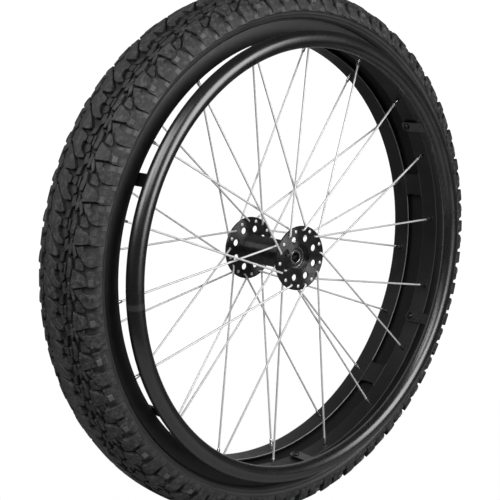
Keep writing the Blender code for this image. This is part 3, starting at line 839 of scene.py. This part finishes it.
def build_hub():
    """Barrel with a drilled flange at each end and a seat for a bearing inside each flange."""
    race_r, race_low, race_high = span("bearing_outer_race_outboard")
    seat_r = race_r + 0.25 * MM
    middle = (HUB_LOW + HUB_HIGH) / 2
    face = (HUB_HIGH - HUB_LOW) / 2
    back = face - FLANGE_THICKNESS
    mouth = face - BEARING_RECESS
    floor = mouth - (race_high - race_low) - 0.3 * MM
    # Half of the section: each corner's radius and y, and its rounding in mm.
    outside = [
        (seat_r + 1.4 * MM, face, 0.5),
        (HUB_R, face, 0.5),
        (HUB_R, back, 0.5),
        (BARREL_R + 2.2 * MM, back, 1.0),
        (BARREL_R, back - 4.0 * MM, 3.0),
    ]
    inside = [
        (seat_r - 2.0 * MM, floor, 0.3),
        (seat_r, floor, 0.2),
        (seat_r, mouth + 0.6 * MM, 0.2),
        (seat_r + 1.1 * MM, mouth + 1.6 * MM, 0.4),
    ]
    mirrored = [(radius, -y, rounding) for radius, y, rounding in (inside + outside)[::-1]]
    section = [(radius, y + middle, rounding) for radius, y, rounding in outside + mirrored + inside]
    mesh = rounded_ring("hub", section, 144)
    tools = []
    half = FLANGE_THICKNESS / 2
    for y, phase in ((HUB_LOW + half, NEAR_PHASE), (HUB_HIGH - half, FAR_PHASE)):
        for i in range(SPOKES_PER_SIDE):
            angle = phase + i * PITCH
            tools.append(face_drill(angle, SPOKE_RING_R, y, SPOKE_HOLE_R, 0.35 * MM, 14))
        for i in range(8):
            angle = LIGHTENING_PHASE + i * math.pi / 4
            tools.append(face_drill(angle, LIGHTENING_RING_R, y, LIGHTENING_HOLE_R, 0.4 * MM, 32))
    mesh = cut(mesh, joined("hub_tools", tools))
    add_piece("hub_body", mesh, HUB_BLACK, replaces=("hub_shell",), sharp=25.0)


def face_drill(angle, ring_radius, y, size, chamfer, sides):
    """Drill through a flange along Y, with a chamfer at both faces."""
    half, beyond = FLANGE_THICKNESS / 2, 1.0 * MM
    centre = Vector(polar(ring_radius, angle, y))
    matrix = Matrix.Translation(centre) @ Matrix.Rotation(-math.pi / 2, 4, "X")
    levels = [
        (size + chamfer + beyond, -half - beyond),
        (size, -half + chamfer),
        (size, half - chamfer),
        (size + chamfer + beyond, half + beyond),
    ]
    return lofted("drill", [circle(r, z, sides) for r, z in levels], matrix)


RACE_BORE_R = 6.38 * MM
RACE_LAND_R = 11.75 * MM
SLEEVE_BORE_R = 6.45 * MM
SEAL_INNER_R = 9.25 * MM
RACE_STEPS = 96


def bush_mesh(node, inner, outer_rounding, inner_rounding, segments=4, steps=RACE_STEPS):
    """Plain ring as long and as wide as a CAD node, with its own inner radius and rounded edges."""
    outer, low, high = span(node)
    corners = [(outer, low), (outer, high), (inner, high), (inner, low)]
    return ring_mesh(node, fillet(corners, [outer_rounding] * 2 + [inner_rounding] * 2, segments), steps)


def seal_mesh(node, face_low):
    """Rubber seal: a raised lip at its outer and inner edges, with a groove beside each."""
    outer, low, high = span(node)
    face, into = (low, 1) if face_low else (high, -1)
    section = [
        (outer, 0.1 * MM),
        (outer - 0.5 * MM, 0.32 * MM),
        (outer - 0.8 * MM, 0.0),
        (SEAL_INNER_R + 0.8 * MM, 0.0),
        (SEAL_INNER_R + 0.5 * MM, 0.3 * MM),
        (SEAL_INNER_R, 0.12 * MM),
        (SEAL_INNER_R, high - low),
        (outer, high - low),
    ]
    return ring_mesh(node, [(radius, face + into * depth) for radius, depth in section], RACE_STEPS)


def build_bearings():
    for label in ("outboard", "inboard"):
        node = "bearing_outer_race_" + label
        mesh = bush_mesh(node, RACE_LAND_R, 0.6 * MM, 0.25 * MM)
        add_piece("outer_race_" + label, mesh, BEARING_STEEL, replaces=(node,))

        node = "bearing_inner_race_" + label
        mesh = bush_mesh(node, RACE_BORE_R, 0.25 * MM, 0.5 * MM)
        add_piece("inner_race_" + label, mesh, BEARING_STEEL, CORE, (node,))

        node = "bearing_seal_" + label
        mesh = seal_mesh(node, label == "outboard")
        add_piece("seal_" + label, mesh, SEAL_BLACK, replaces=(node,))
    sleeve = bush_mesh("spacer_sleeve", SLEEVE_BORE_R, 0.3 * MM, 0.3 * MM, 2, 72)
    add_piece("spacer", sleeve, BEARING_STEEL, CORE, ("spacer_sleeve",))


# ---- spokes ----

SPOKE_R = 1.25 * MM
SPOKE_BEND = 2.1 * MM
# Head of a spoke: distance past the flange and radius, in mm.
SPOKE_HEAD = ((1.15, 0.9), (1.0, 1.6), (0.62, 2.15), (0.2, 2.1), (0.02, 1.5), (-0.3, 1.02))
# Nipple: height past the bed and radius, in mm, and the flats' distance from its middle where it is square.
NIPPLE = (
    (-10.6, 1.12, None), (-10.5, 1.5, None), (-10.1, 1.75, 1.55), (-9.7, 2.05, 1.66), (-4.9, 2.05, 1.66),
    (-4.2, 2.02, None), (2.6, 2.0, None), (3.2, 3.0, None), (4.2, 3.0, None), (4.9, 2.0, None),
)


def spoke_points(near, elbow_out):
    """Head point, bend corner and rim point of a spoke whose hole is at angle 0."""
    side = -1 if near else 1
    face = HUB_LOW if near else HUB_HIGH
    back = face - side * FLANGE_THICKNESS
    head_plane, leave_plane = (back, face) if elbow_out else (face, back)
    away = side if elbow_out else -side
    lift = 0.85 * MM if elbow_out else 0.25 * MM
    head = Vector((SPOKE_RING_R, head_plane, 0.0))
    corner = Vector((SPOKE_RING_R, leave_plane + away * (SPOKE_R + lift), 0.0))
    turn = (-1 if elbow_out else 1) * 2 * PITCH
    rim_point = Vector(polar(BED_R, turn, side * NIPPLE_Y))
    return head, corner, rim_point, away


def spoke_mesh(near, elbow_out):
    """Spoke with its head and bend, and the direction and the end point that its nipple needs."""
    head, corner, rim_point, away = spoke_points(near, elbow_out)
    inward = Vector((0.0, away, 0.0))
    along = (rim_point - corner).normalized()
    start, end = corner - inward * SPOKE_BEND, corner + along * SPOKE_BEND
    path = [head - inward * drop * MM for drop, _ in SPOKE_HEAD]
    for k in range(8):
        t = k / 7
        path.append((1 - t) ** 2 * start + 2 * t * (1 - t) * corner + t * t * end)
    path += [rim_point - along * 11.0 * MM, rim_point - along * 2.0 * MM]
    radii = [radius * MM for _, radius in SPOKE_HEAD]
    radii += [SPOKE_R] * (len(path) - len(radii))
    return swept("spoke", path, radii, 14), along, rim_point


def nipple_mesh(along, rim_point):
    """Nipple with a square part for the key, a round shank through the bed and a head behind it."""
    turn = along.to_track_quat("Z", "Y").to_matrix().to_4x4()
    rings = []
    for height, radius, flat in NIPPLE:
        rings.append(circle(radius * MM, height * MM, 24, flat and (4, flat * MM)))
    return lofted("nipple", rings, Matrix.Translation(rim_point) @ turn)


def build_spokes():
    """Each side has nine spokes of either kind, in every other hole, each with its nipple."""
    for near, label, phase in ((True, "outboard", NEAR_PHASE), (False, "inboard", FAR_PHASE)):
        kinds = ("elbow_out", "head_out") if near else ("head_out", "elbow_out")
        for first_hole, kind in enumerate(kinds):
            mesh, along, rim_point = spoke_mesh(near, kind == "elbow_out")
            nipple = nipple_mesh(along, rim_point)
            for i in range(SPOKES_PER_SIDE // 2):
                name = "_%s_%s_%d" % (label, kind, i + 1)
                turn = Matrix.Rotation(-(phase + (2 * i + first_hole) * PITCH), 4, "Y")
                wire = mesh.copy()
                wire.transform(turn)
                add_piece("wire" + name, wire, SPOKE_STEEL, replaces=("spoke" + name,))
                end = nipple.copy()
                end.transform(turn)
                add_piece("nipple" + name, end, NIPPLE_NICKEL)


# ---- hand rim ----

TAB_HALF = 7.5 * MM
TAB_THICKNESS = 2.6 * MM
TAB_OUTER = BED_R - 1.2 * MM
WELD_R = 1.25 * MM
WELD_RIPPLE = 0.22 * MM
WELD_PROUD = 0.2 * MM
WELD_STEPS = 22


def build_hand_rim():
    """Bent tube with a slight swelling at the weld that closes it."""
    steps, sides = 360, 36
    weld_height, weld_width = 0.25 * MM, 1.6 * MM
    angles = np.arange(steps) * 2 * math.pi / steps
    distance = np.abs((angles - SEAM_ANGLE + math.pi) % (2 * math.pi) - math.pi) * HAND_RIM_R
    swell = weld_height * np.exp(-((distance / weld_width) ** 2))
    vertices = []
    for i, angle in enumerate(angles):
        tube = HAND_RIM_TUBE + swell[i]
        for k in range(sides):
            a = 2 * math.pi * k / sides
            radius, y = HAND_RIM_R + tube * math.cos(a), HAND_RIM_Y + tube * math.sin(a)
            vertices.append(polar(radius, angle, y))
    mesh = mesh_from("hand_rim_tube", vertices, faces_between(steps, sides, True))
    add_piece("hand_rim_tube", mesh, HAND_RIM_BLACK, replaces=("hand_rim",), sharp=60.0)


def tab_mesh(angle):
    """Flat tongue with a rounded end and a screw hole, and the weld that joins it to the tube."""
    top = HAND_RIM_Y + 0.75 * HAND_RIM_TUBE
    outline = [(top, -TAB_HALF), (top, TAB_HALF)]
    for i in range(17):
        a = math.pi / 2 - math.pi * i / 16
        outline.append((TAB_SCREW_Y + TAB_HALF * math.cos(a), TAB_HALF * math.sin(a)))
    directions = outward(outline)
    edge = 0.35 * MM
    levels = [(-TAB_THICKNESS, -edge), (-TAB_THICKNESS + edge, 0.0), (-edge, 0.0), (0.0, -edge)]
    matrix = local_frame(angle, TAB_OUTER, 0.0)
    rings = []
    for depth, grow in levels:
        rings.append([(y + d.x * grow, s + d.y * grow, depth) for (y, s), d in zip(outline, directions)])
    plate = lofted("tab", rings, matrix)
    plate = cut(plate, drill(angle, TAB_OUTER, TAB_SCREW_Y, TAB_HOLE_R, 12.0 * MM))
    # The weld runs along one face of the tab and back along the other.
    middle = TAB_OUTER - TAB_THICKNESS / 2 - HAND_RIM_R
    half = TAB_THICKNESS / 2
    across = np.linspace(-TAB_HALF, TAB_HALF, WELD_STEPS)
    bead, sizes = [], []
    for s, off in [(s, middle + half) for s in across] + [(s, middle - half) for s in -across]:
        surface = HAND_RIM_Y + math.sqrt(HAND_RIM_TUBE**2 - off**2) + WELD_PROUD
        sizes.append(WELD_R + WELD_RIPPLE * math.sin(len(bead) * 2.1))
        bead.append(matrix @ Vector((surface, s, HAND_RIM_R + off - TAB_OUTER)))
    return joined("tab", [plate, closed_rod(bead, sizes, 8)])


def closed_rod(path, radii, sides):
    """A rod whose path returns to its start."""
    count = len(path)
    vertices = []
    middle = sum(path, Vector()) / count
    for i, point in enumerate(path):
        along = (path[(i + 1) % count] - path[i - 1]).normalized()
        out = point - middle
        out = (out - along * out.dot(along)).normalized()
        vertices += ring_about(point, out, along.cross(out), radii[i], sides)
    return mesh_from("rod", vertices, faces_between(count, sides, True))


def screw_mesh(angle):
    """Button-head screw with a hexagon socket, under the tab, and its nut behind the bed."""
    matrix = local_frame(angle, TAB_OUTER, TAB_SCREW_Y)
    under = -TAB_THICKNESS - 0.05 * MM
    base = BED_R + BED_THICKNESS - TAB_OUTER + 0.05 * MM
    # Radius in mm, and distance in mm below the tab's face for the head, for the socket and above the bed.
    head = ((4.3, 0.01), (4.5, 0.5), (4.1, 1.5), (3.1, 2.3), (2.2, 2.6))
    rings = [circle(2.45 * MM, 4.6 * MM, 32), circle(2.45 * MM, under, 32)]
    rings += [circle(radius * MM, under - drop * MM, 32) for radius, drop in head]
    key = [circle(1.75 * MM, under - drop * MM, 24, (6, 1.5 * MM)) for drop in (1.0, 4.0)]
    screw = cut(lofted("screw", rings, matrix), lofted("socket", key, matrix))
    nut = ((4.0, 0.0), (4.6, 0.4), (4.6, 2.6), (4.0, 3.0))
    rings = [circle(radius * MM, base + rise * MM, 24, (6, 4.0 * MM)) for radius, rise in nut]
    return joined("screw", [screw, lofted("nut", rings, matrix)])


def build_tabs():
    for i in range(TAB_COUNT):
        angle = tab_angle(i)
        add_piece("tab_%d" % (i + 1), tab_mesh(angle), HAND_RIM_BLACK)
        node = "tab_screw_%d" % (i + 1)
        add_piece("screw_%d" % (i + 1), screw_mesh(angle), SCREW_BLACK, replaces=(node,))


# ---- valve ----


# Radius, and height past the bed away from the axle, in mm: the stem past its thread, and the cap's end.
STEM = (
    (2.6, -11.2), (3.2, -10.8), (3.5, -10.0), (3.5, -4.6), (3.9, -2.4), (4.0, 3.4), (7.0, 4.4), (7.0, 5.4),
)
CAP_END = ((1.6, -23.0), (2.5, -22.7), (2.9, -22.0), (3.0, -21.0))
CAP_SIDES = 48


def build_valve():
    """Threaded stem with a rubber root, and a knurled cap."""
    matrix = local_frame(VALVE_ANGLE, BED_R, 0.0)
    rings = [circle(2.55 * MM, -17.0 * MM, 32)]
    z, thread_ends, thread_pitch = -16.6 * MM, -11.6 * MM, 0.6 * MM
    while z < thread_ends:
        rings.append(circle(2.62 * MM, z, 32))
        rings.append(circle(2.4 * MM, z + thread_pitch / 2, 32))
        z += thread_pitch
    rings += [circle(radius * MM, depth * MM, 32) for radius, depth in STEM]
    add_piece("valve_body", lofted("valve", rings, matrix), BUTYL, replaces=("valve_stem",))

    cap = [circle(radius * MM, depth * MM, CAP_SIDES) for radius, depth in CAP_END]
    for depth in (-20.4, -17.6):
        knurled = []
        for i, (x, y, z) in enumerate(circle(3.5 * MM, depth * MM, CAP_SIDES)):
            scale = 1.0 if i % 4 < 2 else 0.93
            knurled.append((x * scale, y * scale, z))
        cap.append(knurled)
    cap.append(circle(3.2 * MM, -17.3 * MM, CAP_SIDES))
    add_piece("cap", lofted("cap", cap, matrix), CAP_PLASTIC, replaces=("valve_cap",))


# ---- studio ----


FLOOR_RADIUS = 0.66
FLOOR_GREY = 0.35
BACKDROP_SEEN = 1.05
BACKDROP_CAST = 0.05


def split_by_ray(tree, seen, cast, surface):
    """The camera sees one shader, and every other ray meets the second one."""
    ray = tree.nodes.new("ShaderNodeLightPath")
    both = tree.nodes.new("ShaderNodeMixShader")
    tree.links.new(ray.outputs["Is Camera Ray"], both.inputs["Fac"])
    tree.links.new(cast, both.inputs[1])
    tree.links.new(seen, both.inputs[2])
    tree.links.new(both.outputs["Shader"], surface)


def build_floor():
    """Round pale floor. It looks white, but lights the wheel only as a mid grey would."""
    sides = 96
    z = -TYRE_R - 1.2 * MM
    vertices = [(0.0, 0.0, z)]
    for i in range(sides):
        a = 2 * math.pi * i / sides
        vertices.append((FLOOR_RADIUS * math.cos(a), FLOOR_RADIUS * math.sin(a), z))
    mesh = mesh_from("floor", vertices, [(0, 1 + i, 1 + (i + 1) % sides) for i in range(sides)])
    floor = bpy.data.objects.new("floor", mesh)
    bpy.context.scene.collection.objects.link(floor)
    pale = bpy.data.materials.new("pale_floor")
    pale.use_nodes = True
    nodes = pale.node_tree.nodes
    shader = nodes["Principled BSDF"]
    shader.inputs["Base Color"].default_value = (FLOOR_GREY, FLOOR_GREY, FLOOR_GREY, 1.0)
    shader.inputs["Roughness"].default_value = 0.9
    shader.inputs["Specular IOR Level"].default_value = 0.0
    white = nodes.new("ShaderNodeEmission")
    surface = nodes["Material Output"].inputs["Surface"]
    split_by_ray(pale.node_tree, white.outputs["Emission"], shader.outputs["BSDF"], surface)
    mesh.materials.append(pale)


def build_world():
    """White backdrop that casts hardly any light of its own."""
    world = bpy.data.worlds.new("studio")
    bpy.context.scene.world = world
    world.use_nodes = True
    tree = world.node_tree
    tree.nodes.clear()
    output = tree.nodes.new("ShaderNodeOutputWorld")
    backgrounds = []
    for strength in (BACKDROP_SEEN, BACKDROP_CAST):
        background = tree.nodes.new("ShaderNodeBackground")
        background.inputs["Color"].default_value = (1.0, 1.0, 1.0, 1.0)
        background.inputs["Strength"].default_value = strength
        backgrounds.append(background.outputs["Background"])
    split_by_ray(tree, *backgrounds, output.inputs["Surface"])


def softbox(name, place, aim, width, height, radiance):
    """Rectangular lamp that faces a point, and isn't seen itself."""
    data = bpy.data.lights.new(name, "AREA")
    data.shape = "RECTANGLE"
    data.size = width
    data.size_y = height
    data.energy = radiance * math.pi * width * height
    lamp = bpy.data.objects.new(name, data)
    lamp.location = place
    lamp.rotation_euler = (Vector(aim) - lamp.location).to_track_quat("-Z", "Y").to_euler()
    lamp.visible_camera = False
    bpy.context.scene.collection.objects.link(lamp)


def build_studio():
    view = bpy.context.scene.view_settings
    view.view_transform = "Standard"
    view.look = "None"
    view.exposure = 0.0
    build_floor()
    build_world()
    softbox("front_right", (0.22, -1.02, 0.42), (-0.05, 0.0, 0.05), 0.75, 0.95, 5.2)
    softbox("left_high", (-1.85, 0.28, 1.3), (0.0, 0.0, 0.0), 1.5, 1.5, 4.5)
    softbox("backdrop", (0.8, 2.4, 0.4), (0.0, 0.0, 0.0), 4.4, 2.8, 0.4)
    softbox("front_left", (-1.6, -1.1, 1.5), (-0.2, 0.0, 0.1), 1.1, 1.1, 4.0)


# The photograph's view: turns in radians, the camera's place along its own axes, and its focal length.
CAMERA_AZIMUTH = -0.7364334513
CAMERA_ELEVATION = 0.1593184265
CAMERA_ROLL = 0.0342359457
CAMERA_UNIT = 265.0 * MM
CAMERA_BACK, CAMERA_RIGHT, CAMERA_UP = 5.4220124758, -0.1228304312, 0.0149335566
FOCAL_LENGTH_PX = 1154.3406
IMAGE_WIDTH_PX = 500.0
SENSOR_WIDTH = 36.0


def build_camera():
    """Camera at the photograph's view, aimed and rolled by its three axes."""
    cos_up, sin_up = math.cos(CAMERA_ELEVATION), math.sin(CAMERA_ELEVATION)
    back = Vector((math.sin(CAMERA_AZIMUTH) * cos_up, -math.cos(CAMERA_AZIMUTH) * cos_up, sin_up))
    level = Vector((math.cos(CAMERA_AZIMUTH), math.sin(CAMERA_AZIMUTH), 0.0))
    above = back.cross(level)
    right = level * math.cos(CAMERA_ROLL) + above * math.sin(CAMERA_ROLL)
    up = above * math.cos(CAMERA_ROLL) - level * math.sin(CAMERA_ROLL)
    place = (back * CAMERA_BACK + right * CAMERA_RIGHT + up * CAMERA_UP) * CAMERA_UNIT
    data = bpy.data.cameras.new("camera")
    data.sensor_width = SENSOR_WIDTH
    data.lens = SENSOR_WIDTH * FOCAL_LENGTH_PX / IMAGE_WIDTH_PX
    data.clip_start = 0.05
    data.clip_end = 60.0
    camera = bpy.data.objects.new("camera", data)
    rotation = Matrix((right, up, back)).transposed()
    camera.matrix_world = Matrix.Translation(place) @ rotation.to_4x4()
    bpy.context.scene.collection.objects.link(camera)
    bpy.context.scene.camera = camera


build_carcass()
build_blocks("tyre_tread", tread_blocks(), TREAD, 0.6 * MM)
build_blocks("tyre_pads", side_pads(), PAD_PAINTED_HIGHLIGHT, 0.5 * MM)
build_rim()
build_tape()
build_hub()
build_bearings()
build_spokes()
build_hand_rim()
build_tabs()
build_valve()

kept_nodes = {
    "bearing_ball_ring_outboard": BEARING_STEEL,
    "bearing_ball_ring_inboard": BEARING_STEEL,
    "inner_tube": BUTYL,
}
for node, material in kept_nodes.items():
    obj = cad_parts[node]
    obj.data.materials.clear()
    obj.data.materials.append(material)

build_studio()
build_camera()

bpy.context.view_layer.update()
